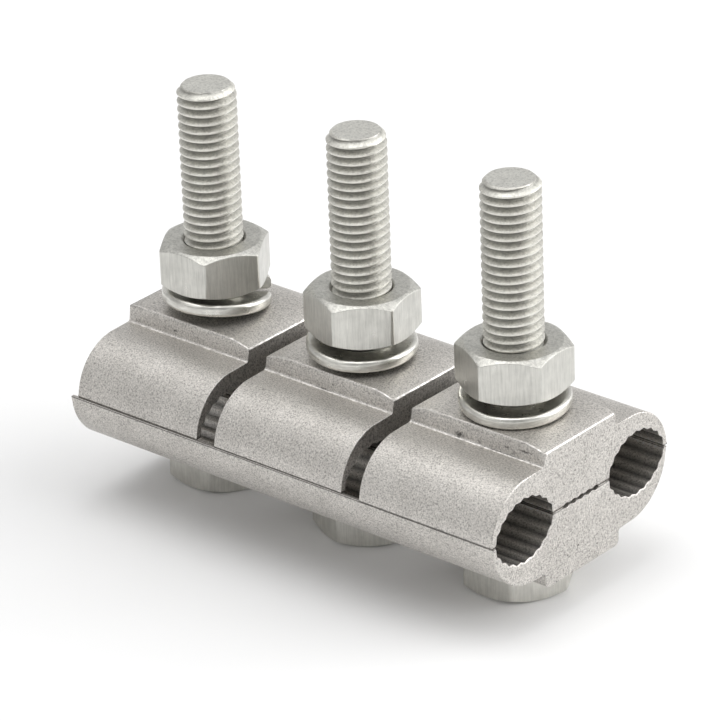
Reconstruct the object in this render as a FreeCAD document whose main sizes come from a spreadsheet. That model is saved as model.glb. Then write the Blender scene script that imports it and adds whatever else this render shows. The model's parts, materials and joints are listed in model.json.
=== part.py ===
import FreeCAD, Part
import Sketcher
import math
import os
import re

# Three-bolt parallel-groove plate clamp for overhead lines.
# A long grooved lower plate carries three bolts, heads down. Three short upper plates, one for each bolt,
# close the two conductor grooves from above, each under its own spring washer and nut.
# +X runs along the grooves, +Y across them, +Z up. The origin is on the middle bolt's axis, on the plane
# that the bolt heads stand on.

Vector = FreeCAD.Vector
Rotation = FreeCAD.Rotation
Placement = FreeCAD.Placement

# Driving dimensions, in millimetres and degrees

DRIVING = (
    # Both plates' sections are measured from the parting plane between them
    ("station_pitch", 32.3),
    ("bolt_hole_diameter", 12.0),
    ("parting_edge_radius", 0.18),
    # Conductor grooves: an arc through the tips of the teeth, its centre beyond the parting plane. It leaves
    # a web beside the bolt hole and a lip along the edge of the narrower plate.
    ("groove_web", 1.23),
    ("groove_sink", 2.3),
    # V-shaped flutes along each groove leave sharp teeth between them that bite the conductor. The groove's
    # two edges stay plain.
    ("flute_pitch", 2.0),
    ("flute_depth", 0.42),
    # Flutes along the middle, where the plates meet
    ("seam_flute_pitch", 1.9),
    ("seam_flute_radius", 1.15),
    ("seam_flute_depth", 0.25),
    ("seam_relief_half_width", 4.3),
    ("seam_relief_depth", 0.12),
    # Lower plate
    ("lower_length", 91.2),
    ("lower_half_width", 22.5),
    ("lower_lip_width", 0.65),
    ("lower_lobe_height", 9.95),
    ("lower_lobe_radius", 9.9),
    ("rib_half_width", 9.55),
    ("rib_height", 12.7),
    ("rib_edge_radius", 1.1),
    # Upper plates, whose pad tops roll off towards the sheared ends
    ("upper_length", 27.5),
    ("upper_half_width", 22.8),
    ("upper_lip_width", 0.95),
    ("upper_lobe_height", 8.95),
    ("upper_lobe_radius", 9.45),
    ("pad_half_width", 9.3),
    ("pad_draft", 0.3),
    ("pad_height", 12.05),
    ("pad_edge_radius", 0.4),
    ("pad_end_run", 5.0),
    ("pad_end_drop", 0.85),
    ("fold_radius", 0.5),
    # Bolts, nuts and washers
    ("bolt_diameter", 10.0),
    ("bolt_length", 65.0),
    ("bolt_end_chamfer", 1.0),
    ("head_height", 7.0),
    ("nut_height", 8.0),
    ("across_flats", 17.0),
    ("hex_edge_radius", 0.8),
    ("hex_chamfer_diameter", 16.0),
    ("hex_chamfer_slope", 30.0),
    ("nut_running_gap", 0.06),
    ("nut_countersink_diameter", 10.9),
    ("washer_bore", 10.9),
    ("washer_band_width", 3.8),
    ("washer_band_thickness", 2.2),
    ("washer_outer_rounding", 0.75),
    ("washer_free_rise", 2.3),
    ("washer_split_gap", 0.9),
    ("seat_gap", 0.02),
)

# Worked-out dimensions, each a formula on the driving ones

WORKED_OUT = (
    ("parting_level", "head_height + rib_height"),
    ("bolt_hole_radius", "bolt_hole_diameter / 2"),
    ("groove_inner_edge", "bolt_hole_radius + groove_web"),
    ("groove_outer_edge", "min(lower_half_width - lower_lip_width; upper_half_width - upper_lip_width)"),
    ("groove_offset", "(groove_inner_edge + groove_outer_edge) / 2"),
    ("groove_half_chord", "(groove_outer_edge - groove_inner_edge) / 2"),
    ("groove_radius", "sqrt(groove_half_chord^2 + groove_sink^2)"),
    ("groove_half_angle", "atan(groove_half_chord / groove_sink) / 1deg"),
    ("flute_step", "flute_pitch / groove_radius * 180 / pi"),
    ("flute_count", "round(2 * groove_half_angle / flute_step) - 1"),
    ("flute_first_angle", "flute_step * (flute_count - 1) / 2"),
    ("flute_valley", "groove_radius + flute_depth"),
    ("flute_mouth", "groove_radius - flute_depth"),
    ("flute_mouth_half_width", "flute_pitch"),
    ("parting_flat_lower", "lower_half_width - parting_edge_radius"),
    ("parting_flat_upper", "upper_half_width - parting_edge_radius"),
    ("seam_flute_sink", "seam_flute_radius - seam_flute_depth - seam_relief_depth"),
    ("seam_flute_count", "round(2 * seam_relief_half_width / seam_flute_pitch)"),
    ("seam_flute_first", "seam_flute_pitch * (seam_flute_count - 1) / 2"),
    ("lower_lobe_sink", "lower_lobe_height - parting_edge_radius - lower_lobe_radius"),
    ("lower_lobe_edge", "lower_half_width - sqrt(lower_lobe_radius^2 - lower_lobe_sink^2)"),
    ("rib_foot_half_width", "rib_half_width + fold_radius"),
    ("rib_foot_level", "lower_lobe_height + fold_radius"),
    ("rib_edge_level", "rib_height - rib_edge_radius"),
    ("rib_flat_half_width", "rib_half_width - rib_edge_radius"),
    ("upper_lobe_sink", "upper_lobe_height - parting_edge_radius - upper_lobe_radius"),
    ("upper_lobe_edge", "upper_half_width - sqrt(upper_lobe_radius^2 - upper_lobe_sink^2)"),
    ("pad_foot_half_width", "pad_half_width + fold_radius"),
    ("pad_foot_level", "upper_lobe_height + fold_radius"),
    ("pad_top_half_width", "pad_half_width - pad_draft"),
    ("pad_edge_level", "pad_height - pad_edge_radius"),
    ("pad_flat_half_width", "pad_top_half_width - pad_edge_radius"),
    ("pad_end_radius", "(pad_end_run^2 + pad_end_drop^2) / (2 * pad_end_drop)"),
    ("pad_end_face", "upper_length / 2"),
    ("pad_end_start", "pad_end_face - pad_end_run"),
    ("pad_end_level", "pad_height - pad_end_drop"),
    ("pad_end_outside", "pad_end_face + pad_end_drop"),
    ("pad_end_above", "pad_height + pad_end_drop"),
    ("hex_corner", "across_flats / sqrt(3)"),
    ("hex_half_corner", "hex_corner / 2"),
    ("hex_half_flats", "across_flats / 2"),
    ("hex_chamfer_radius", "hex_chamfer_diameter / 2"),
    ("hex_chamfer_fall", "(hex_corner - hex_chamfer_radius) * tan(hex_chamfer_slope * 1deg)"),
    ("nut_chamfer_level", "nut_height - hex_chamfer_fall"),
    ("bolt_radius", "bolt_diameter / 2"),
    ("nut_bore_radius", "bolt_radius + nut_running_gap"),
    ("washer_inner_radius", "washer_bore / 2"),
    ("washer_outer_radius", "washer_inner_radius + washer_band_width"),
    ("washer_round_start", "washer_outer_radius - washer_outer_rounding"),
    ("washer_round_top", "washer_band_thickness - washer_outer_rounding"),
    ("washer_mean_radius", "(washer_inner_radius + washer_outer_radius) / 2"),
    ("washer_turns", "1 - washer_split_gap / (2 * pi * washer_mean_radius)"),
)

# How the loose pieces happen to lie, in millimetres from their places and in degrees about +Z from +X.
# Bolts and plates have moved within the bolt holes. The first upper plate is cut short at its outer end, so
# its hole is off its middle and its pad rolls off less there. A washer's low tip is at its split, it leans
# down towards one side until it rests on the pad, and it has kept a share of its free rise.

LOWER_PLATE_ASIDE = -0.55
STATIONS = (
    {
        "plate_along": 0.9, "plate_aside": 0.2, "cut_short": 0.7, "roll_off_moved": -1.55,
        "hole_off_middle": -0.55, "bolt_along": -0.2, "head_turn": -5.0, "nut_turn": 1.0,
        "washer_along": 0.0, "washer_aside": 0.0, "split_at": 38.0,
        "rise_share": 1.0, "lean": 6.0, "lean_towards": 119.0,
    },
    {
        "plate_along": 0.1, "plate_aside": 0.0, "cut_short": 0.0, "roll_off_moved": 0.0,
        "hole_off_middle": 0.0, "bolt_along": 0.0, "head_turn": -23.8, "nut_turn": -19.4,
        "washer_along": -0.25, "washer_aside": -0.15, "split_at": 131.0,
        "rise_share": 1.0, "lean": 2.9, "lean_towards": -98.0,
    },
    {
        "plate_along": -0.7, "plate_aside": -0.3, "cut_short": 0.0, "roll_off_moved": 0.0,
        "hole_off_middle": 0.0, "bolt_along": -0.4, "head_turn": 0.3, "nut_turn": -26.5,
        "washer_along": 0.0, "washer_aside": 0.0, "split_at": 129.0,
        "rise_share": 0.45, "lean": 4.4, "lean_towards": -74.0,
    },
)

doc = FreeCAD.newDocument("PlateClamp")
driving = doc.addObject("Spreadsheet::Sheet", "Dimensions")
worked_out = doc.addObject("Spreadsheet::Sheet", "WorkedOut")
SHEET_OF = {word: "Dimensions" for word, _ in DRIVING}
SHEET_OF.update({word: "WorkedOut" for word, _ in WORKED_OUT})


def expression(formula):
    """Names the sheet of each dimension in a formula."""
    return re.sub(r"[a-z]+(?:_[a-z]+)+", lambda word: f"{SHEET_OF[word.group()]}.{word.group()}", formula)


for row, (alias, value) in enumerate(DRIVING, start=1):
    driving.set(f"A{row}", alias)
    driving.set(f"B{row}", str(value))
    driving.setAlias(f"B{row}", alias)
doc.recompute()
for row, (alias, formula) in enumerate(WORKED_OUT, start=1):
    worked_out.set(f"A{row}", alias)
    worked_out.set(f"B{row}", "=" + expression(formula).replace("WorkedOut.", ""))
    worked_out.setAlias(f"B{row}", alias)
    doc.recompute()


def size(word):
    """The present value of a dimension; 0 is the sketch's own axis, a minus sign its other side."""
    if word == "0":
        return 0.0
    if word.startswith("-"):
        return -size(word[1:])
    return float(getattr(doc.getObject(SHEET_OF[word]), word))


def bind(feature, name, formula):
    feature.setExpression(name, expression(formula))


# Bodies and sketches

def new_body(name):
    body = doc.addObject("PartDesign::Body", name)
    body.Label = name
    return body


def new_sketch(body, name, role):
    """An empty sketch on an origin plane: YZ_Plane has +Y across and +Z up, XZ_Plane +X and +Z."""
    sketch = body.newObject("Sketcher::SketchObject", f"{body.Name}_{name}")
    plane = next(item for item in body.Origin.OriginFeatures if item.Role == role)
    sketch.AttachmentSupport = (plane, [""])
    sketch.MapMode = "FlatFace"
    return sketch


def hold_point(sketch, geometry, end, across, upward):
    """Ties one point of the sketch to a dimension across and a dimension up."""
    for kind, word, axis in (("DistanceX", across, -2), ("DistanceY", upward, -1)):
        if word == "0":
            sketch.addConstraint(Sketcher.Constraint("PointOnObject", geometry, end, axis))
        else:
            held = sketch.addConstraint(Sketcher.Constraint(kind, -1, 1, geometry, end, size(word)))
            bind(sketch, f"Constraints[{held}]", word)


def arc_between(start, end, radius, turn):
    """The lesser arc from start to end, turning left (1) or right (-1)."""
    chord = end - start
    rise = math.sqrt(max(radius ** 2 - (chord.Length / 2) ** 2, 0.0))
    left = Vector(-chord.y, chord.x, 0).normalize()
    centre = (start + end) * 0.5 + left * (rise * turn)
    first, last = (start, end) if turn > 0 else (end, start)
    begin = math.atan2(first.y - centre.y, first.x - centre.x)
    finish = math.atan2(last.y - centre.y, last.x - centre.x)
    return Part.ArcOfCircle(Part.Circle(centre, Vector(0, 0, 1), radius), begin, finish)


def draw_outline(sketch, corners):
    """A closed outline of (across, upward) corners; a corner may add the radius and turn of an arc after it."""
    points = [Vector(size(corner[0]), size(corner[1]), 0) for corner in corners]
    starts = []
    ends = []
    for index, corner in enumerate(corners):
        start = points[index]
        end = points[(index + 1) % len(points)]
        if len(corner) == 2:
            edge = sketch.addGeometry(Part.LineSegment(start, end))
            starts.append((edge, 1))
            ends.append((edge, 2))
            continue
        radius, turn = corner[2:]
        edge = sketch.addGeometry(arc_between(start, end, size(radius), turn))
        starts.append((edge, 1 if turn > 0 else 2))
        ends.append((edge, 2 if turn > 0 else 1))
    for index, corner in enumerate(corners):
        sketch.addConstraint(Sketcher.Constraint("Coincident", *ends[index - 1], *starts[index]))
        hold_point(sketch, *starts[index], corner[0], corner[1])
    for index, corner in enumerate(corners):
        if len(corner) > 2:
            held = sketch.addConstraint(Sketcher.Constraint("Radius", starts[index][0], size(corner[2])))
            bind(sketch, f"Constraints[{held}]", corner[2])


def draw_circle(sketch, radius, across="0", upward="0"):
    centre = Vector(size(across), size(upward), 0)
    circle = sketch.addGeometry(Part.Circle(centre, Vector(0, 0, 1), size(radius)))
    hold_point(sketch, circle, 3, across, upward)
    held = sketch.addConstraint(Sketcher.Constraint("Radius", circle, size(radius)))
    bind(sketch, f"Constraints[{held}]", radius)


# Features

def pad(body, sketch, length, symmetric=False):
    feature = body.newObject("PartDesign::Pad", f"{sketch.Name}_pad")
    feature.Profile = sketch
    if symmetric:
        feature.SideType = "Symmetric"
    bind(feature, "Length", length)
    return feature


def proven_cut(feature):
    """A cut that misses the solid shows no error, so its volume is compared."""
    doc.recompute()
    if not feature.Shape.Volume < feature.BaseFeature.Shape.Volume:
        raise RuntimeError(f"{feature.Name} cuts nothing")
    return feature


def cut_through(body, sketch):
    """Cuts the sketch out of the whole body, both ways from its plane."""
    feature = body.newObject("PartDesign::Pocket", f"{sketch.Name}_pocket")
    feature.Profile = sketch
    feature.Type = "ThroughAll"
    feature.SideType = "Symmetric"
    return proven_cut(feature)


def cut_round(body, sketch):
    """Turns the sketch about the body's own axis and cuts it away."""
    feature = body.newObject("PartDesign::Groove", f"{sketch.Name}_groove")
    feature.Profile = sketch
    feature.ReferenceAxis = (sketch, ["V_Axis"])
    feature.Angle = 360.0
    return proven_cut(feature)


def repeat(body, kind, feature, axis_name, axis, step, count):
    """Repeats a cut along or about an axis of its own sketch."""
    pattern = body.newObject(f"PartDesign::{kind}", f"{feature.Name}_pattern")
    pattern.Originals = [feature]
    setattr(pattern, axis_name, (feature.Profile[0], [axis]))
    pattern.Mode = "Spacing"
    bind(pattern, "Offset", step)
    bind(pattern, "Occurrences", count)
    body.Tip = pattern
    doc.recompute()
    return pattern


def mirror(body, role):
    """Mirrors the whole body in one of its origin planes."""
    plane = next(item for item in body.Origin.OriginFeatures if item.Role == role)
    copy = body.newObject("PartDesign::Mirrored", f"{body.Name}_mirror")
    copy.TransformMode = "Whole shape"
    copy.MirrorPlane = (plane, [""])
    body.Tip = copy
    doc.recompute()


def dress(body, kind, edges, name, formula):
    """Rounds or chamfers the named edges of the body as it stands."""
    base = body.Tip
    feature = body.newObject(f"PartDesign::{kind}", f"{base.Name}_{kind.lower()}")
    feature.Base = (base, edges)
    bind(feature, name, formula)
    doc.recompute()
    return feature


def edges_where(body, test):
    doc.recompute()
    return [f"Edge{index}" for index, edge in enumerate(body.Shape.Edges, start=1) if test(edge)]


# Plates

def cut_flutes(body, side):
    """Cuts the flutes of one groove; side is 1 where it opens upwards and -1 where it opens downwards."""
    sketch = new_sketch(body, "flute", "YZ_Plane")
    bind(sketch, "AttachmentOffset.Base.x", "groove_offset")
    bind(sketch, "AttachmentOffset.Base.y", "groove_sink" if side > 0 else "-groove_sink")
    bind(sketch, "AttachmentOffset.Rotation.Angle", "-flute_first_angle")
    into = "-" if side > 0 else ""
    draw_outline(sketch, (
        ("0", f"{into}flute_valley"),
        ("flute_mouth_half_width", f"{into}flute_mouth"),
        ("-flute_mouth_half_width", f"{into}flute_mouth"),
    ))
    flute = cut_through(body, sketch)
    repeat(body, "PolarPattern", flute, "Axis", "N_Axis", "flute_step", "flute_count")


def cut_seam_flutes(body, side):
    """Cuts the flutes along the middle of the face that meets the other plate."""
    sketch = new_sketch(body, "seam_flute", "YZ_Plane")
    sink = "seam_flute_sink" if side > 0 else "-seam_flute_sink"
    draw_circle(sketch, "seam_flute_radius", "-seam_flute_first", sink)
    flute = cut_through(body, sketch)
    repeat(body, "LinearPattern", flute, "Direction", "H_Axis", "seam_flute_pitch", "seam_flute_count")


def cut_bolt_hole(body, along="0", off_middle=0.0):
    sketch = new_sketch(body, "bolt_hole", "XY_Plane")
    sketch.AttachmentOffset = Placement(Vector(off_middle, 0, 0), Rotation())
    draw_circle(sketch, "bolt_hole_radius", along)
    return cut_through(body, sketch)


def cut_roll_off(body, end, moved):
    """Rolls off the pad's top towards one end of the plate; end is "-" where that is the -X end."""
    sketch = new_sketch(body, "roll_off", "XZ_Plane")
    sketch.AttachmentOffset = Placement(Vector(moved, 0, 0), Rotation())
    draw_outline(sketch, (
        (f"{end}pad_end_start", "pad_height", "pad_end_radius", 1 if end else -1),
        (f"{end}pad_end_face", "pad_end_level"),
        (f"{end}pad_end_outside", "pad_end_level"),
        (f"{end}pad_end_outside", "pad_end_above"),
        (f"{end}pad_end_start", "pad_end_above"),
    ))
    cut_through(body, sketch)


def make_lower_plate():
    """One length of section, with a groove along each side, a rib below and a hole at each station."""
    body = new_body("lower_plate")
    section = new_sketch(body, "section", "YZ_Plane")
    draw_outline(section, (
        ("0", "-seam_relief_depth"),
        ("seam_relief_half_width", "-seam_relief_depth"),
        ("seam_relief_half_width", "0"),
        ("groove_inner_edge", "0", "groove_radius", 1),
        ("groove_outer_edge", "0"),
        ("parting_flat_lower", "0", "parting_edge_radius", -1),
        ("lower_half_width", "-parting_edge_radius", "lower_lobe_radius", -1),
        ("lower_lobe_edge", "-lower_lobe_height"),
        ("rib_foot_half_width", "-lower_lobe_height", "fold_radius", 1),
        ("rib_half_width", "-rib_foot_level"),
        ("rib_half_width", "-rib_edge_level", "rib_edge_radius", -1),
        ("rib_flat_half_width", "-rib_height"),
        ("0", "-rib_height"),
    ))
    pad(body, section, "lower_length", symmetric=True)
    cut_flutes(body, 1)
    mirror(body, "XZ_Plane")
    cut_seam_flutes(body, 1)
    hole = cut_bolt_hole(body, "-station_pitch")
    repeat(body, "LinearPattern", hole, "Direction", "H_Axis", "station_pitch", str(len(STATIONS)))
    body.Placement = Placement(Vector(0, LOWER_PLATE_ASIDE, 0), Rotation())
    bind(body, "Placement.Base.z", "parting_level")
    return body


def make_upper_plate(name, station, lie):
    """A short length of section with a raised pad, whose top rolls off to both sheared ends."""
    body = new_body(name)
    section = new_sketch(body, "section", "YZ_Plane")
    draw_outline(section, (
        ("0", "seam_relief_depth"),
        ("0", "pad_height"),
        ("pad_flat_half_width", "pad_height", "pad_edge_radius", -1),
        ("pad_top_half_width", "pad_edge_level"),
        ("pad_half_width", "pad_foot_level", "fold_radius", 1),
        ("pad_foot_half_width", "upper_lobe_height"),
        ("upper_lobe_edge", "upper_lobe_height", "upper_lobe_radius", -1),
        ("upper_half_width", "parting_edge_radius", "parting_edge_radius", -1),
        ("parting_flat_upper", "0"),
        ("groove_outer_edge", "0", "groove_radius", 1),
        ("groove_inner_edge", "0"),
        ("seam_relief_half_width", "0"),
        ("seam_relief_half_width", "seam_relief_depth"),
    ))
    plate = pad(body, section, "upper_length / 2")
    plate.SideType = "Two sides"
    bind(plate, "Length2", f"upper_length / 2 - {lie['cut_short']}")
    cut_flutes(body, -1)
    mirror(body, "XZ_Plane")
    cut_seam_flutes(body, -1)
    cut_roll_off(body, "", 0.0)
    cut_roll_off(body, "-", lie["roll_off_moved"])
    cut_bolt_hole(body, off_middle=lie["hole_off_middle"])
    body.Placement = Placement(Vector(0, lie["plate_aside"], 0), Rotation())
    bind(body, "Placement.Base.x", f"{station} * station_pitch + {lie['plate_along']}")
    bind(body, "Placement.Base.z", "parting_level")
    return body


# Bolts, nuts and washers

def make_hexagon(body, height):
    """A hexagon prism with its upright edges rounded, standing on the body's XY plane."""
    sketch = new_sketch(body, "hexagon", "XY_Plane")
    draw_outline(sketch, (
        ("hex_corner", "0"),
        ("hex_half_corner", "hex_half_flats"),
        ("-hex_half_corner", "hex_half_flats"),
        ("-hex_corner", "0"),
        ("-hex_half_corner", "-hex_half_flats"),
        ("hex_half_corner", "-hex_half_flats"),
    ))
    pad(body, sketch, height)
    upright = edges_where(body, lambda edge: abs(edge.tangentAt(edge.FirstParameter).z) > 0.99)
    dress(body, "Fillet", upright, "Radius", "hex_edge_radius")


def chamfer_hexagon(body, name, face_level, corner_level):
    """Turns the hexagon's corners down to the chamfer circle on one of its faces."""
    sketch = new_sketch(body, name, "XZ_Plane")
    draw_outline(sketch, (
        ("hex_chamfer_radius", face_level),
        ("hex_corner", face_level),
        ("hex_corner", corner_level),
    ))
    cut_round(body, sketch)


def rim_edges(body, radius, levels):
    """The round edges of a given radius about the body's axis at given heights."""
    def is_rim(edge):
        if not isinstance(edge.Curve, Part.Circle):
            return False
        centre = edge.Curve.Center
        on_level = any(abs(centre.z - level) < 1e-4 for level in levels)
        return on_level and abs(edge.Curve.Radius - radius) < 1e-4
    return edges_where(body, is_rim)


def make_bolt(name, station, lie):
    """A hexagon bolt, head down. Its thread runs to the head and is left as its outer cylinder."""
    body = new_body(name)
    make_hexagon(body, "head_height")
    chamfer_hexagon(body, "head_chamfer", "0", "hex_chamfer_fall")
    shank = new_sketch(body, "shank", "XY_Plane")
    bind(shank, "AttachmentOffset.Base.z", "head_height")
    draw_circle(shank, "bolt_radius")
    pad(body, shank, "bolt_length")
    doc.recompute()
    end = rim_edges(body, size("bolt_radius"), [size("head_height") + size("bolt_length")])
    dress(body, "Chamfer", end, "Size", "bolt_end_chamfer")
    body.Placement = Placement(Vector(), Rotation(Vector(0, 0, 1), lie["head_turn"]))
    bind(body, "Placement.Base.x", f"{station} * station_pitch + {lie['bolt_along']}")
    return body


def make_washer(name, station, lie):
    """One turn of rounded band on a left-hand helix, split, as it lies uncompressed on its pad."""
    body = new_body(name)
    band = new_sketch(body, "band", "XZ_Plane")
    draw_outline(band, (
        ("washer_inner_radius", "0"),
        ("washer_round_start", "0", "washer_outer_rounding", 1),
        ("washer_outer_radius", "washer_outer_rounding"),
        ("washer_outer_radius", "washer_round_top", "washer_outer_rounding", 1),
        ("washer_round_start", "washer_band_thickness"),
        ("washer_inner_radius", "washer_band_thickness"),
    ))
    coil = body.newObject("PartDesign::AdditiveHelix", f"{name}_coil")
    coil.Profile = band
    coil.ReferenceAxis = (band, ["V_Axis"])
    coil.Mode = "pitch-turns-angle"
    coil.LeftHanded = True
    bind(coil, "Pitch", f"washer_free_rise * {lie['rise_share']}")
    bind(coil, "Turns", "washer_turns")
    doc.recompute()
    split = Rotation(Vector(0, 0, 1), lie["split_at"])
    towards = math.radians(lie["lean_towards"])
    lean = Rotation(Vector(-math.sin(towards), math.cos(towards), 0), lie["lean"])
    middle = Vector(0, 0, (size("washer_band_thickness") + float(coil.Pitch)) / 2)
    aside = middle - lean.multVec(middle)
    aside.y += lie["washer_aside"]
    body.Placement = Placement(aside, lean * split)
    doc.recompute()
    low_point = body.Shape.optimalBoundingBox(False).ZMin - aside.z
    along = lie["bolt_along"] + lie["washer_along"] + aside.x
    bind(body, "Placement.Base.x", f"{station} * station_pitch + {along:.6f}")
    bind(body, "Placement.Base.z", f"parting_level + pad_height + seat_gap - {low_point:.6f}")
    return body


def make_nut(name, station, lie, washer):
    """A hexagon nut, chamfered both ends, that sits on the highest point of its washer."""
    body = new_body(name)
    make_hexagon(body, "nut_height")
    chamfer_hexagon(body, "lower_chamfer", "0", "hex_chamfer_fall")
    chamfer_hexagon(body, "upper_chamfer", "nut_height", "nut_chamfer_level")
    bore = new_sketch(body, "bore", "XY_Plane")
    draw_circle(bore, "nut_bore_radius")
    cut_through(body, bore)
    mouths = rim_edges(body, size("nut_bore_radius"), [0.0, size("nut_height")])
    dress(body, "Chamfer", mouths, "Size", "nut_countersink_diameter / 2 - nut_bore_radius")
    body.Placement = Placement(Vector(), Rotation(Vector(0, 0, 1), lie["nut_turn"]))
    doc.recompute()
    high_point = washer.Shape.optimalBoundingBox(False).ZMax
    bind(body, "Placement.Base.x", f"{station} * station_pitch + {lie['bolt_along']}")
    bind(body, "Placement.Base.z", f"{high_point:.6f} + seat_gap")
    return body


parts = [make_lower_plate()]
for number, lie in enumerate(STATIONS, start=1):
    station = number - (len(STATIONS) + 1) // 2
    parts.append(make_upper_plate(f"upper_plate_{number}", station, lie))
    parts.append(make_bolt(f"hex_bolt_{number}", station, lie))
    washer = make_washer(f"spring_washer_{number}", station, lie)
    parts.append(washer)
    parts.append(make_nut(f"hex_nut_{number}", station, lie, washer))
doc.recompute()

# Every object must have recomputed, and every sub-part must be one valid solid.

for item in doc.Objects:
    if "Invalid" in item.State or "Error" in item.State:
        raise RuntimeError(f"{item.Name} did not recompute: {item.State}")
for part in parts:
    if part.Shape.isNull() or not part.Shape.isValid() or len(part.Shape.Solids) != 1:
        raise RuntimeError(f"{part.Label} is not one valid solid")

os.makedirs("parts", exist_ok=True)
for part in parts:
    part.Shape.exportStep(os.path.join("parts", f"{part.Label}.step"))
    box = part.Shape.BoundBox
    print(f"{part.Label}: {part.Shape.Volume:.1f} mm3, x {box.XMin:.2f} to {box.XMax:.2f}, "
          f"y {box.YMin:.2f} to {box.YMax:.2f}, z {box.ZMin:.2f} to {box.ZMax:.2f}")
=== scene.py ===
import json
import math
import bmesh
import bpy
from mathutils import Matrix, Vector


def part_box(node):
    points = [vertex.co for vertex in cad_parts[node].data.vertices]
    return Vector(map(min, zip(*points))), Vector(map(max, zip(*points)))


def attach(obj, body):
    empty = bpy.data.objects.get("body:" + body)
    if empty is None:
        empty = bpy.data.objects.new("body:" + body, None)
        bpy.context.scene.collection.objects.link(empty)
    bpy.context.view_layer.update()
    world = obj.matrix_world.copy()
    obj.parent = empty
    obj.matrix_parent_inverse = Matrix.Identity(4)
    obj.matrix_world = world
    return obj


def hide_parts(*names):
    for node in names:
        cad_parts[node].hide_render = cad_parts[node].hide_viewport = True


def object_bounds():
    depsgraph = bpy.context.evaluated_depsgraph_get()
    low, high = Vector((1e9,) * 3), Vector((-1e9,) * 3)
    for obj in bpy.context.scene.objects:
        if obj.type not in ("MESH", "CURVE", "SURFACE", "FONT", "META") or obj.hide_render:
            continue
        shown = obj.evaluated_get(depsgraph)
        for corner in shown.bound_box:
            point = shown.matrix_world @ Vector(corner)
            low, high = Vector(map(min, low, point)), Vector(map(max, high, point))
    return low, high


# Looks of the plate clamp: blasted aluminium plates, zinc-plated bolts and nuts, smoother spring washers.
# Lengths are in metres, in the frame of the construction: +X along the grooves, +Z up the bolts.

MM = 0.001
STATIONS = (1, 2, 3)

# Edges: how wide they are broken, and from which angle on they count as sharp
PLATE_EDGE = 0.20 * MM
GAP_EDGE = 0.12 * MM
TOOTH_EDGE = 0.06 * MM
WORN_CORNER = 0.9 * MM
STEEL_EDGE = 0.10 * MM
WASHER_EDGE = 0.07 * MM
SHORT_EDGE = 0.3 * MM
CREASE = math.radians(24)
SHARP = math.radians(40)
COPLANAR = math.radians(0.4)
WELD = 0.5e-6

# The plates' section, about their middle across Y
PARTING_LEVEL = 19.7 * MM
GROOVE_OFFSET = 14.54 * MM
GROOVE_RADIUS = 7.66 * MM
GROOVE_SINK = 2.3 * MM
FLUTE_DEPTH = 0.42 * MM
SEAM_HALF_WIDTH = 4.6 * MM
SEAM_FLUTE_REACH = 0.8 * MM
PAD_HALF_WIDTH = 9.3 * MM
PAD_RISE = 3.1 * MM
PAD_ROUNDING = 1.2 * MM
FOLD = 0.5 * MM
WORN_REACH = 0.6 * MM
AT_END = 0.02 * MM
TOOTH_MARGIN = 0.05 * MM

# The thread: crest and root are shares of the pitch
THREAD_PITCH = 1.5 * MM
THREAD_DEPTH = 0.92 * MM
THREAD_CREST = 0.16
THREAD_ROOT = 0.22
ROOT_ROUNDING = 0.12
THREAD_SINK = 0.05 * MM
THREAD_START = 0.7
END_CHAMFER = 1.0 * MM
ROWS_A_TURN = 12
COLUMNS = 64

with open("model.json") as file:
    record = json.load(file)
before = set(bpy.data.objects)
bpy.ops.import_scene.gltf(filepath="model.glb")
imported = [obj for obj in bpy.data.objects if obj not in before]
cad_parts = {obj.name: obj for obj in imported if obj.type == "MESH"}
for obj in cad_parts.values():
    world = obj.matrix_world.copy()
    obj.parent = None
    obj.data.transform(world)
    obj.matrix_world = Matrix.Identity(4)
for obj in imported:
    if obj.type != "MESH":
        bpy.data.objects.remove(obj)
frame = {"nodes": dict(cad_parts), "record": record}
nodes = frame["nodes"]
start_low, start_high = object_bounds()
bodies = frame["record"]["behaviour"]["bodies"]
body_of_node = {node: body for body, members in bodies.items() for node in members}


# Meshes

def copy_of(node):
    """The node's own surface as one welded mesh, with its flat faces whole again."""
    mesh = bmesh.new()
    mesh.from_mesh(nodes[node].data)
    bmesh.ops.remove_doubles(mesh, verts=mesh.verts, dist=WELD)
    bmesh.ops.dissolve_limit(mesh, angle_limit=COPLANAR, verts=mesh.verts, edges=mesh.edges)
    return mesh


def break_edges(mesh, width, chosen, segments=2, material=-1):
    """Rounds the sharp edges that a test picks out; their faces may take a material of their own."""
    mesh.normal_update()
    sharp = [edge for edge in mesh.edges if len(edge.link_faces) == 2
             and edge.calc_face_angle(0.0) > CREASE and chosen(edge)]
    bmesh.ops.bevel(mesh, geom=sharp, offset=width, offset_type="OFFSET", segments=segments, profile=0.5,
                    affect="EDGES", clamp_overlap=False, miter_outer="SHARP", material=material)


def finished(mesh, name, node, *materials):
    """Turns a mesh into a piece that rides with its node's body."""
    data = bpy.data.meshes.new(name)
    bmesh.ops.recalc_face_normals(mesh, faces=mesh.faces)
    mesh.to_mesh(data)
    mesh.free()
    piece = bpy.data.objects.new(name, data)
    bpy.context.scene.collection.objects.link(piece)
    for material in materials:
        data.materials.append(material)
    data.set_sharp_from_angle(angle=SHARP)
    weighted = piece.modifiers.new("flat faces lead", "WEIGHTED_NORMAL")
    weighted.keep_sharp = True
    weighted.weight = 80
    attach(piece, body_of_node[node])
    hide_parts(node)
    return piece


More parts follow.
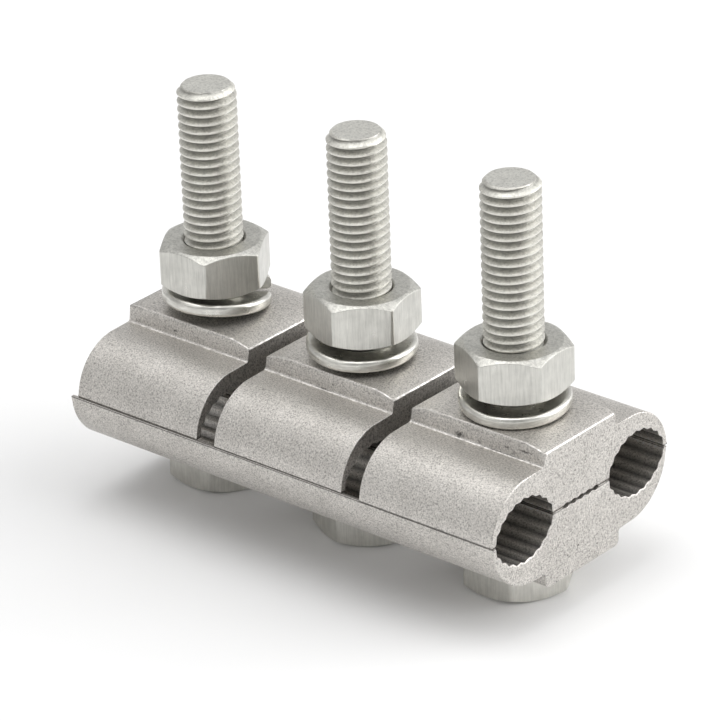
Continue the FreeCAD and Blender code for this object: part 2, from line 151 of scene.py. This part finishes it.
def thread_radius(share, outer):
    """Radius of the thread at a share of one pitch: a flat crest, straight flanks, a rounded root."""
    share = share % 1.0
    from_root = abs(share - 0.5)
    half_root = THREAD_ROOT / 2
    half_crest = THREAD_CREST / 2
    if from_root > 0.5 - half_crest:
        return outer
    if from_root < half_root:
        lift = from_root / half_root
        return outer - THREAD_DEPTH + ROOT_ROUNDING * THREAD_DEPTH * lift * lift
    flank = (from_root - half_root) / (0.5 - half_crest - half_root)
    return outer - THREAD_DEPTH * (1 - ROOT_ROUNDING) * (1 - flank)


def add_thread(mesh, axis, bottom, top, outer, start):
    """A right-hand thread from bottom to top, closed by a flat. "valley" tells how deep a point lies in it."""
    depth = mesh.verts.layers.float.new("valley")
    rows = int(math.ceil((top - bottom) / THREAD_PITCH + 1)) * ROWS_A_TURN
    rings = []
    for column in range(COLUMNS + 1):
        turn = column / COLUMNS
        angle = 2 * math.pi * turn + start
        ring = []
        for row in range(-ROWS_A_TURN, rows + 1):
            share = row / ROWS_A_TURN
            level = bottom + (share + turn) * THREAD_PITCH
            radius = thread_radius(share, outer)
            sunk = (outer - radius) / THREAD_DEPTH
            inside = min(max(level, bottom), top)
            radius = min(radius, outer - max(0.0, inside - (top - END_CHAMFER)))
            if level < bottom:
                radius = min(radius, outer - THREAD_DEPTH)
            across = (axis.x + radius * math.cos(angle), axis.y + radius * math.sin(angle))
            point = mesh.verts.new((*across, inside))
            point[depth] = sunk
            ring.append(point)
        rings.append(ring)
    for ring, following in zip(rings, rings[1:]):
        for row in range(len(ring) - 1):
            mesh.faces.new((ring[row], following[row], following[row + 1], ring[row + 1]))
    bmesh.ops.remove_doubles(mesh, verts=mesh.verts, dist=0.4e-6)
    bmesh.ops.dissolve_degenerate(mesh, edges=mesh.edges, dist=0.4e-6)
    rim = [edge for edge in mesh.edges if edge.is_boundary and min(v.co.z for v in edge.verts) > top - 1e-6]
    bmesh.ops.edgeloop_fill(mesh, edges=rim)


# Materials

def new_material(name):
    material = bpy.data.materials.new(name)
    material.use_nodes = True
    tree = material.node_tree
    shader = tree.nodes["Principled BSDF"]
    shader.inputs["Metallic"].default_value = 1.0
    place = tree.nodes.new("ShaderNodeTexCoord")
    return material, tree, shader, place.outputs["Object"]


def noise_at(tree, place, size, detail=3.0, rough=0.55):
    """Noise with features of about one size, in metres."""
    cloud = tree.nodes.new("ShaderNodeTexNoise")
    cloud.inputs["Scale"].default_value = 1.0 / size
    cloud.inputs["Detail"].default_value = detail
    cloud.inputs["Roughness"].default_value = rough
    tree.links.new(place, cloud.inputs["Vector"])
    return cloud.outputs["Fac"]


def ramp(tree, value, stops):
    """Colours or values along a factor."""
    band = tree.nodes.new("ShaderNodeValToRGB")
    band.color_ramp.elements[0].position = stops[0][0]
    band.color_ramp.elements[0].color = (*stops[0][1], 1)
    band.color_ramp.elements[1].position = stops[-1][0]
    band.color_ramp.elements[1].color = (*stops[-1][1], 1)
    for position, colour in stops[1:-1]:
        element = band.color_ramp.elements.new(position)
        element.color = (*colour, 1)
    tree.links.new(value, band.inputs["Fac"])
    return band.outputs["Color"]


def product(tree, first, second):
    """One colour times another."""
    node = tree.nodes.new("ShaderNodeMix")
    node.data_type = "RGBA"
    node.blend_type = "MULTIPLY"
    node.inputs["Factor"].default_value = 1.0
    tree.links.new(first, node.inputs["A"])
    tree.links.new(second, node.inputs["B"])
    return node.outputs["Result"]


def calc(tree, kind, first, second=None, clamp=False):
    """One sum on node values or plain numbers."""
    node = tree.nodes.new("ShaderNodeMath")
    node.operation = kind
    node.use_clamp = clamp
    for socket, value in zip(node.inputs, (first, second)):
        if value is None:
            continue
        if isinstance(value, (int, float)):
            socket.default_value = value
        else:
            tree.links.new(value, socket)
    return node.outputs["Value"]


def vector_sum(tree, kind, first, second=None):
    """One sum on a node's vector, if need be with a plain one."""
    node = tree.nodes.new("ShaderNodeVectorMath")
    node.operation = kind
    tree.links.new(first, node.inputs[0])
    if second is not None:
        node.inputs[1].default_value = second
    return node


def in_spots(tree, place, spots):
    """How deep a point lies in the named spots, 0 outside and 1 within, with ragged edges."""
    ragged = calc(tree, "MULTIPLY", calc(tree, "SUBTRACT", noise_at(tree, place, 0.5 * MM, 3.0, 0.7), 0.5), 3.2)
    deepest = 0.0
    for centre, reach, height in spots:
        away = vector_sum(tree, "SUBTRACT", place, Vector(centre) * MM)
        scale = Vector((1 / reach, 1 / height, 1 / height)) / MM
        shares = vector_sum(tree, "MULTIPLY", away.outputs["Vector"], scale)
        length = vector_sum(tree, "LENGTH", shares.outputs["Vector"])
        inside = calc(tree, "SUBTRACT", 1.3, calc(tree, "ADD", length.outputs["Value"], ragged), clamp=True)
        deepest = calc(tree, "MAXIMUM", inside, deepest)
    return deepest


def bumps(tree, shader, layers):
    """Stacks heights, each a value, a strength and a depth in metres."""
    normal = None
    for height, strength, depth in layers:
        bump = tree.nodes.new("ShaderNodeBump")
        bump.inputs["Strength"].default_value = strength
        bump.inputs["Distance"].default_value = depth
        tree.links.new(height, bump.inputs["Height"])
        if normal:
            tree.links.new(normal, bump.inputs["Normal"])
        normal = bump.outputs["Normal"]
    tree.links.new(normal, shader.inputs["Normal"])


def grey(level):
    return (level, level, level)


def lay_aluminium(tree, place):
    """The tone of blasted, slightly warm grey aluminium with a bright and dark grain, and what it is made of."""
    grain = noise_at(tree, place, 0.27 * MM, 1.5, 0.7)
    stains = noise_at(tree, place, 6.0 * MM, 4.0, 0.6)
    tone = ramp(tree, stains, ((0.3, (0.565, 0.543, 0.513)), (0.7, (0.64, 0.616, 0.583))))
    specks = ramp(tree, grain, ((0.34, grey(0.58)), (0.46, grey(0.91)),
                                (0.56, grey(1.03)), (0.68, grey(1.2))))
    return product(tree, tone, specks), grain, stains


def facing(tree, axis):
    """How squarely a surface faces along an axis of the object, from 0 to 1."""
    place = tree.nodes.new("ShaderNodeTexCoord")
    split = tree.nodes.new("ShaderNodeSeparateXYZ")
    tree.links.new(place.outputs["Normal"], split.inputs["Vector"])
    return calc(tree, "ABSOLUTE", split.outputs[axis])


def darkened(tree, mask, depth):
    """A factor that falls from 1 by a depth where a mask rises from 0 to 1."""
    return calc(tree, "SUBTRACT", 1.0, calc(tree, "MULTIPLY", mask, depth))


def joint_painted_shade(tree, place):
    """Painted shade of the slit along the joint between the plates, on faces that stand upright."""
    split = tree.nodes.new("ShaderNodeSeparateXYZ")
    tree.links.new(place, split.inputs["Vector"])
    off_joint = calc(tree, "ABSOLUTE", calc(tree, "SUBTRACT", split.outputs["Z"], PARTING_LEVEL))
    at_joint = calc(tree, "SUBTRACT", 1.4, calc(tree, "DIVIDE", off_joint, JOINT_SHADE_REACH), clamp=True)
    upright = calc(tree, "MULTIPLY", calc(tree, "SUBTRACT", 0.9, facing(tree, "Z")), 3.0, clamp=True)
    return calc(tree, "MULTIPLY", at_joint, upright)


def make_aluminium():
    """The plates' main finish, with sheared ends, painted shade along the joint and the pits of this one clamp."""
    material, tree, shader, place = new_material("blasted aluminium")
    tone, grain, stains = lay_aluminium(tree, place)
    pitted = in_spots(tree, place, PITS)
    sheared = calc(tree, "SUBTRACT", calc(tree, "MULTIPLY", facing(tree, "X"), 4.0), 3.0, clamp=True)
    coarse = noise_at(tree, place, 0.5 * MM, 2.5, 0.7)
    pepper = ramp(tree, coarse, ((0.36, grey(1.0)), (0.47, grey(0.15)), (0.6, grey(0.0))))
    # pits, painted shade along the joint and pepper on the sheared ends darken the tone
    for mask, depth in ((pitted, PIT_DEPTH), (joint_painted_shade(tree, place), JOINT_SHADE_DEPTH),
                        (calc(tree, "MULTIPLY", pepper, sheared), PEPPER_DEPTH)):
        tone = product(tree, tone, darkened(tree, mask, depth))
    tree.links.new(tone, shader.inputs["Base Color"])
    tree.links.new(ramp(tree, stains, ((0.3, grey(0.55)), (0.7, grey(0.47)))), shader.inputs["Roughness"])
    waves = noise_at(tree, place, 2.6 * MM, 2.0, 0.5)
    hollow = calc(tree, "SUBTRACT", 1.0, pitted)
    bumps(tree, shader, ((waves, 0.5, 0.07 * MM), (grain, 0.75, 0.07 * MM), (hollow, 0.8, 0.12 * MM)))
    return material


def make_worn_and_highlighted_edge():
    """The same metal on edges and folds, brighter: partly polish from handling and the die, partly a painted
    highlight.
    """
    material, tree, shader, place = new_material("worn aluminium edge with painted highlight")
    patches = noise_at(tree, place, 0.9 * MM, 3.0, 0.6)
    tone = ramp(tree, patches, ((0.40, (0.52, 0.50, 0.475)), (0.62, (0.82, 0.80, 0.765))))
    tree.links.new(tone, shader.inputs["Base Color"])
    tree.links.new(ramp(tree, patches, ((0.3, grey(0.55)), (0.65, grey(0.38)))), shader.inputs["Roughness"])
    bumps(tree, shader, ((patches, 0.5, 0.04 * MM),))
    return material


def make_groove_aluminium():
    """The grooves' teeth: a painted highlight along the tips and painted shade down in the flutes, by how deep a
    point lies in the groove, and painted shade along the joint.
    """
    material, tree, shader, place = new_material("toothed groove")
    tone, grain, stains = lay_aluminium(tree, place)
    depth = tree.nodes.new("ShaderNodeAttribute")
    depth.attribute_name = "valley"
    # painted highlight on the tips of the teeth, painted shade down in the flutes
    shade = ramp(tree, depth.outputs["Fac"], ((0.0, grey(1.75)), (0.25, grey(1.3)),
                                              (0.7, grey(0.82)), (1.0, grey(0.46))))
    # painted shade along the joint between the plates darkens the teeth as well
    tone = product(tree, product(tree, tone, shade), darkened(tree, joint_painted_shade(tree, place), GROOVE_JOINT_SHADE_DEPTH))
    tree.links.new(tone, shader.inputs["Base Color"])
    tree.links.new(ramp(tree, stains, ((0.3, grey(0.5)), (0.7, grey(0.42)))), shader.inputs["Roughness"])
    bumps(tree, shader, ((grain, 0.6, 0.06 * MM),))
    return material


def make_zinc(name, low_tone, high_tone, shine, streak, grit, shaded_roots=False):
    """Zinc plating, with fine drawn lines up the flats and mottled level faces; a thread can take painted shade in
    its roots and a faint painted highlight on its crests.
    """
    material, tree, shader, place = new_material(name)
    stretch = tree.nodes.new("ShaderNodeMapping")
    stretch.inputs["Scale"].default_value = (1.0, 1.0, 0.06)
    tree.links.new(place, stretch.inputs["Vector"])
    lines = noise_at(tree, stretch.outputs["Vector"], 0.3 * MM, 3.0, 0.7)
    patches = noise_at(tree, place, 2.4 * MM, 3.0, 0.55)
    mottle = noise_at(tree, place, 0.55 * MM, 3.0, 0.7)
    level = calc(tree, "DIVIDE", calc(tree, "SUBTRACT", facing(tree, "Z"), 0.35), 0.3, clamp=True)
    tone = ramp(tree, patches, ((0.3, low_tone), (0.7, high_tone)))
    streaks = ramp(tree, lines, ((0.34, grey(1.0 - streak)), (0.62, grey(1.03))))
    spots = ramp(tree, calc(tree, "MULTIPLY", calc(tree, "SUBTRACT", 0.52, mottle), level),
                 ((0.0, grey(1.0)), (0.12, grey(0.80))))
    tone = product(tree, product(tree, tone, streaks), spots)
    if shaded_roots:
        # painted shade in the roots of the thread and a faint painted highlight on its crests
        depth = tree.nodes.new("ShaderNodeAttribute")
        depth.attribute_name = "valley"
        shade = ramp(tree, depth.outputs["Fac"], ((0.1, grey(1.08)), (0.5, grey(0.98)), (0.9, grey(0.68))))
        tone = product(tree, tone, shade)
    tree.links.new(tone, shader.inputs["Base Color"])
    gloss = calc(tree, "SUBTRACT", shine + 0.1, calc(tree, "MULTIPLY", patches, 0.15))
    tree.links.new(calc(tree, "ADD", gloss, calc(tree, "MULTIPLY", level, 0.14)), shader.inputs["Roughness"])
    grain = noise_at(tree, place, 0.28 * MM, 2.0, 0.6)
    relief = calc(tree, "MULTIPLY", mottle, level)
    bumps(tree, shader, ((patches, 0.4, 0.05 * MM), (lines, 0.35, 0.02 * MM), (grain, grit, 0.03 * MM),
                         (relief, 0.7, 0.10 * MM)))
    return material


def make_washer_steel():
    """Satin plating on the spring washers, smoother and a little brighter, with fine marks along the rim."""
    material, tree, shader, place = new_material("bright zinc")
    stretch = tree.nodes.new("ShaderNodeMapping")
    stretch.inputs["Scale"].default_value = (0.14, 0.14, 1.0)
    tree.links.new(place, stretch.inputs["Vector"])
    lines = noise_at(tree, stretch.outputs["Vector"], 0.35 * MM, 3.0, 0.7)
    patches = noise_at(tree, place, 1.6 * MM, 3.0, 0.5)
    tone = ramp(tree, patches, ((0.3, (0.60, 0.59, 0.55)), (0.7, (0.73, 0.72, 0.67))))
    streaks = ramp(tree, lines, ((0.36, grey(0.80)), (0.6, grey(1.04))))
    tree.links.new(product(tree, tone, streaks), shader.inputs["Base Color"])
    tree.links.new(ramp(tree, patches, ((0.3, grey(0.36)), (0.7, grey(0.26)))), shader.inputs["Roughness"])
    grain = noise_at(tree, place, 0.3 * MM, 2.0, 0.6)
    bumps(tree, shader, ((patches, 0.4, 0.05 * MM), (lines, 0.35, 0.02 * MM), (grain, 0.4, 0.02 * MM)))
    return material


# How much of the metal's tone pits, the painted shade along the joint and pepper take away
PIT_DEPTH = 0.78
JOINT_SHADE_REACH = 0.19 * MM
JOINT_SHADE_DEPTH = 0.88
GROOVE_JOINT_SHADE_DEPTH = 0.9
PEPPER_DEPTH = 0.38

# Pits and scuffs of the plates in millimetres: the centre, half the length along the clamp and half the height
PITS = (
    ((-30.2, -9.1, 30.6), 0.45, 0.22), ((-34.1, -9.1, 29.7), 0.35, 0.18), ((-37.4, -9.1, 30.4), 0.25, 0.15),
    ((-31.5, -9.1, 31.0), 0.9, 0.12), ((-33.2, -9.3, 28.9), 1.2, 0.10), ((-0.9, -9.4, 28.7), 1.7, 0.22),
    ((1.3, -9.3, 30.1), 0.5, 0.2), ((2.6, -9.3, 30.6), 0.35, 0.15), ((28.0, -9.7, 29.3), 0.85, 0.45),
    ((32.1, -9.7, 29.3), 0.4, 0.2), ((33.1, -9.9, 28.7), 0.4, 0.25), ((34.7, -9.6, 31.1), 0.4, 0.18),
    ((37.8, -9.6, 30.0), 0.5, 0.2), ((45.35, 6.7, 16.2), 0.3, 0.22), ((45.35, 6.9, 14.6), 0.3, 0.24),
    ((45.6, -1.6, 11.4), 0.3, 0.2), ((45.6, 3.3, 9.6), 0.3, 0.22), ((45.6, -4.3, 10.7), 0.3, 0.18),
    ((45.35, -1.8, 25.0), 0.3, 0.16), ((38.5, -9.85, 28.75), 6.0, 0.16), ((-33.0, -9.1, 31.0), 4.0, 0.11),
    ((41.5, -9.6, 30.2), 1.2, 0.25),
)

aluminium = make_aluminium()
worn_and_highlighted_edge = make_worn_and_highlighted_edge()
groove_metal = make_groove_aluminium()
nut_zinc = make_zinc("satin zinc", (0.563, 0.558, 0.522), (0.652, 0.644, 0.603), shine=0.28, streak=0.16,
                     grit=0.35)
end_zinc = make_zinc("bolt end zinc", (0.68, 0.672, 0.63), (0.79, 0.782, 0.73), shine=0.26, streak=0.10, grit=0.5)
head_zinc = make_zinc("rough zinc", (0.60, 0.59, 0.55), (0.70, 0.69, 0.645), shine=0.42, streak=0.10, grit=0.9)
thread_zinc = make_zinc("thread zinc", (0.60, 0.59, 0.546), (0.70, 0.69, 0.64), shine=0.34, streak=0.08, grit=0.8,
                        shaded_roots=True)
washer_steel = make_washer_steel()


# Pieces

def make_plate(node):
    """A plate with its outer edges broken, its pad's edges worn and brightened by a painted highlight, and its
    teeth left nearly sharp.
    """
    low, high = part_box(node)
    mesh = copy_of(node)
    middle = (low.y + high.y) / 2
    is_upper = node != "lower_plate"
    outward = 1 if is_upper else -1
    parting = low.z if is_upper else high.z
    has_outer_end = node in ("lower_plate", "upper_plate_3")
    pad_foot = high.z - PAD_RISE

    def depth_in_groove(place):
        """Distance from the nearer groove's axis."""
        across = abs(place.y - middle) - GROOVE_OFFSET
        return math.hypot(across, (place.z - parting) * outward + GROOVE_SINK)

    def is_tooth(v):
        if abs(v.co.y - middle) > SEAM_HALF_WIDTH:
            return depth_in_groove(v.co) < GROOVE_RADIUS + FLUTE_DEPTH + TOOTH_MARGIN
        return (v.co.z - parting) * outward < SEAM_FLUTE_REACH

    def in_groove(edge):
        """An edge is part of the teeth if both its ends lie on the grooves or on the flutes of the seam."""
        return all(is_tooth(v) for v in edge.verts)

    def plain(edge):
        return not in_groove(edge) and edge.calc_length() > SHORT_EDGE

    def at_far_end(edge):
        return all(v.co.x > high.x - AT_END for v in edge.verts)

    def at_near_end(edge):
        return low.x + 0.5 * MM > max(v.co.x for v in edge.verts)

    def at_outer_end(edge):
        return has_outer_end and at_far_end(edge)

    def above_foot(edge):
        return is_upper and all(v.co.z > pad_foot for v in edge.verts)

    def on_pad(edge):
        return is_upper and all(v.co.z > high.z - PAD_ROUNDING for v in edge.verts)

    def worn_corner(edge):
        """The upright corner of the last pad nearest the +X end."""
        return (node == "upper_plate_3" and at_outer_end(edge) and above_foot(edge)
                and all(v.co.y < middle - PAD_HALF_WIDTH + WORN_REACH for v in edge.verts)
                and abs(edge.verts[0].co.z - edge.verts[1].co.z) > 0.5 * MM)

    def rubbed_and_highlighted(edge):
        """Edges that hands and tools rub, whose faces take the worn finish with its painted highlight: those of
        the pad, and of the sheared end above its foot.
        """
        return plain(edge) and (at_outer_end(edge) and above_foot(edge) or on_pad(edge))

    break_edges(mesh, WORN_CORNER, worn_corner, 4)
    break_edges(mesh, TOOTH_EDGE, lambda edge: not is_upper and in_groove(edge) and at_outer_end(edge), 1)
    break_edges(mesh, PLATE_EDGE, rubbed_and_highlighted, 2, 1)
    break_edges(mesh, PLATE_EDGE, lambda edge: plain(edge) and at_outer_end(edge))
    break_edges(mesh, GAP_EDGE, lambda edge: plain(edge) and not has_outer_end and at_far_end(edge))
    break_edges(mesh, PLATE_EDGE, lambda edge: plain(edge) and at_near_end(edge))

    valley = mesh.verts.layers.float.new("valley")
    for v in mesh.verts:
        v[valley] = min(max((depth_in_groove(v.co) - GROOVE_RADIUS) / FLUTE_DEPTH, 0.0), 1.0)
    mesh.normal_update()
    for face in mesh.faces:
        if abs(face.normal.x) >= 0.3:
            continue
        centre = face.calc_center_median()
        across = abs(centre.y - middle)
        in_fold = PAD_HALF_WIDTH + FOLD / 3 < across < PAD_HALF_WIDTH + FOLD
        if across > SEAM_HALF_WIDTH and all(is_tooth(v) for v in face.verts):
            face.material_index = 2
        # the fold at the pad's foot also takes the worn edge finish with its painted highlight
        elif is_upper and in_fold and pad_foot < centre.z < pad_foot + FOLD / 2:
            face.material_index = 1
    piece = finished(mesh, f"{node}_look", node, aluminium, worn_and_highlighted_edge, groove_metal)


def make_steel(node, edge, material):
    """A washer or nut as it is, with its edges broken."""
    mesh = copy_of(node)
    break_edges(mesh, edge, lambda edge: True)
    piece = finished(mesh, f"{node}_look", node, material)


def make_bolt(number):
    """The head from the node's own mesh, and a threaded shank in place of its plain one."""
    node = f"hex_bolt_{number}"
    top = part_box(node)[1].z
    nut_low, nut_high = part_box(f"hex_nut_{number}")
    axis = Vector(((nut_low.x + nut_high.x) / 2, (nut_low.y + nut_high.y) / 2, 0))
    mesh = copy_of(node)

    def from_axis(v):
        return math.hypot(v.co.x - axis.x, v.co.y - axis.y)

    outer = max(from_axis(v) for v in mesh.verts if v.co.z > top - 2 * END_CHAMFER)
    head_top = min(v.co.z for v in mesh.verts if v.co.z > 1.0 * MM and abs(from_axis(v) - outer) < 0.02 * MM)
    above = [v for v in mesh.verts if v.co.z > head_top + 0.05 * MM]
    bmesh.ops.delete(mesh, geom=above, context="VERTS")
    rim = [edge for edge in mesh.edges if edge.is_boundary]
    if rim:
        bmesh.ops.edgeloop_fill(mesh, edges=rim)
    break_edges(mesh, STEEL_EDGE, lambda edge: True)
    head = finished(mesh, f"{node}_head", node, head_zinc)
    thread = bmesh.new()
    add_thread(thread, axis, head_top - THREAD_SINK, top, outer, THREAD_START * number)
    for face in thread.faces:
        if min(v.co.z for v in face.verts) > top - 1e-6:
            face.material_index = 1
    shank_piece = finished(thread, f"{node}_thread", node, thread_zinc, end_zinc)


make_plate("lower_plate")
for number in STATIONS:
    make_plate(f"upper_plate_{number}")
    make_bolt(number)
    make_steel(f"spring_washer_{number}", WASHER_EDGE, washer_steel)
    make_steel(f"hex_nut_{number}", STEEL_EDGE, nut_zinc)


# Floor, light and camera

FLOOR_TONE = 0.82
FLOOR_HALF = 6.0
SKY_REAR_GAIN = 0.25
SKY = ((0.0, grey(0.70)), (0.45, grey(0.62)), (0.65, grey(0.46)), (0.86, grey(0.50)), (0.96, grey(0.88)),
       (1.0, grey(0.95)))

# Lamps: the place from the clamp's middle, width, height and power
LAMPS = {
    "key": ((0.80, 0.55, 0.80), 1.3, 1.3, 9.4),
    "side": ((0.78, 0.75, 0.24), 1.0, 0.45, 5.2),
    "front": ((-0.35, -1.1, 0.75), 0.8, 0.6, 1.5),
    "top": ((-0.17, -0.2, 1.2), 1.0, 1.0, 6.8),
}

CAMERA_PLACE = Vector((483.53, -552.49, 391.28)) * MM
CAMERA_YAW = math.radians(41.25)
CAMERA_PITCH = math.radians(26.16)
CAMERA_ROLL = math.radians(-2.15)
FOCAL_SHARE = 4960.0 / 720.0
SENSOR = 36.0


def add_light(name, place, target, width, height, power):
    """A soft lamp that faces a target."""
    lamp = bpy.data.lights.new(name, "AREA")
    lamp.shape = "RECTANGLE"
    lamp.size = width
    lamp.size_y = height
    lamp.energy = power
    light = bpy.data.objects.new(name, lamp)
    light.location = place
    bpy.context.scene.collection.objects.link(light)
    light.rotation_euler = (target - place).to_track_quat("-Z", "Y").to_euler()


def make_floor():
    """A plain white floor that keeps the clamp's shadow, the same to the eye and in the metal."""
    data = bpy.data.meshes.new("floor")
    corners = [(x * FLOOR_HALF, y * FLOOR_HALF, 0) for x, y in ((-1, -1), (1, -1), (1, 1), (-1, 1))]
    data.from_pydata(corners, [], [(0, 1, 2, 3)])
    floor = bpy.data.objects.new("floor", data)
    bpy.context.scene.collection.objects.link(floor)
    material = bpy.data.materials.new("white floor")
    material.use_nodes = True
    shader = material.node_tree.nodes["Principled BSDF"]
    shader.inputs["Base Color"].default_value = (*grey(FLOOR_TONE), 1)
    shader.inputs["Roughness"].default_value = 1.0
    shader.inputs["Specular IOR Level"].default_value = 0.0
    data.materials.append(material)


def make_world():
    """A studio that is bright low down all round, darker above, bright overhead and a little brighter behind."""
    world = bpy.data.worlds.new("studio")
    bpy.context.scene.world = world
    world.use_nodes = True
    tree = world.node_tree
    background = tree.nodes["Background"]
    place = tree.nodes.new("ShaderNodeTexCoord")
    split = tree.nodes.new("ShaderNodeSeparateXYZ")
    tree.links.new(place.outputs["Generated"], split.inputs["Vector"])
    tree.links.new(ramp(tree, split.outputs["Z"], SKY), background.inputs["Color"])
    rear = calc(tree, "MULTIPLY", split.outputs["Y"], SKY_REAR_GAIN)
    tree.links.new(calc(tree, "ADD", rear, 1.0), background.inputs["Strength"])


def make_camera():
    """The photograph's viewpoint, with its slight roll."""
    ahead = math.cos(CAMERA_PITCH)
    forward = Vector((-math.sin(CAMERA_YAW) * ahead, math.cos(CAMERA_YAW) * ahead, -math.sin(CAMERA_PITCH)))
    right = Vector((math.cos(CAMERA_YAW), math.sin(CAMERA_YAW), 0))
    up = right.cross(forward)
    rolled_right = math.cos(CAMERA_ROLL) * right + math.sin(CAMERA_ROLL) * up
    rolled_up = -math.sin(CAMERA_ROLL) * right + math.cos(CAMERA_ROLL) * up
    data = bpy.data.cameras.new("camera")
    data.sensor_width = SENSOR
    data.lens = FOCAL_SHARE * SENSOR
    data.clip_start = 0.01
    data.clip_end = 50
    camera = bpy.data.objects.new("camera", data)
    bpy.context.scene.collection.objects.link(camera)
    turn = Matrix((rolled_right, rolled_up, -forward)).transposed().to_4x4()
    camera.matrix_world = Matrix.Translation(CAMERA_PLACE) @ turn
    bpy.context.scene.camera = camera


make_floor()
make_world()
clamp_middle = (start_low + start_high) / 2
for name, (offset, width, height, power) in LAMPS.items():
    add_light(name, clamp_middle + Vector(offset), clamp_middle, width, height, power)
make_camera()
bpy.context.scene.view_settings.view_transform = "Standard"
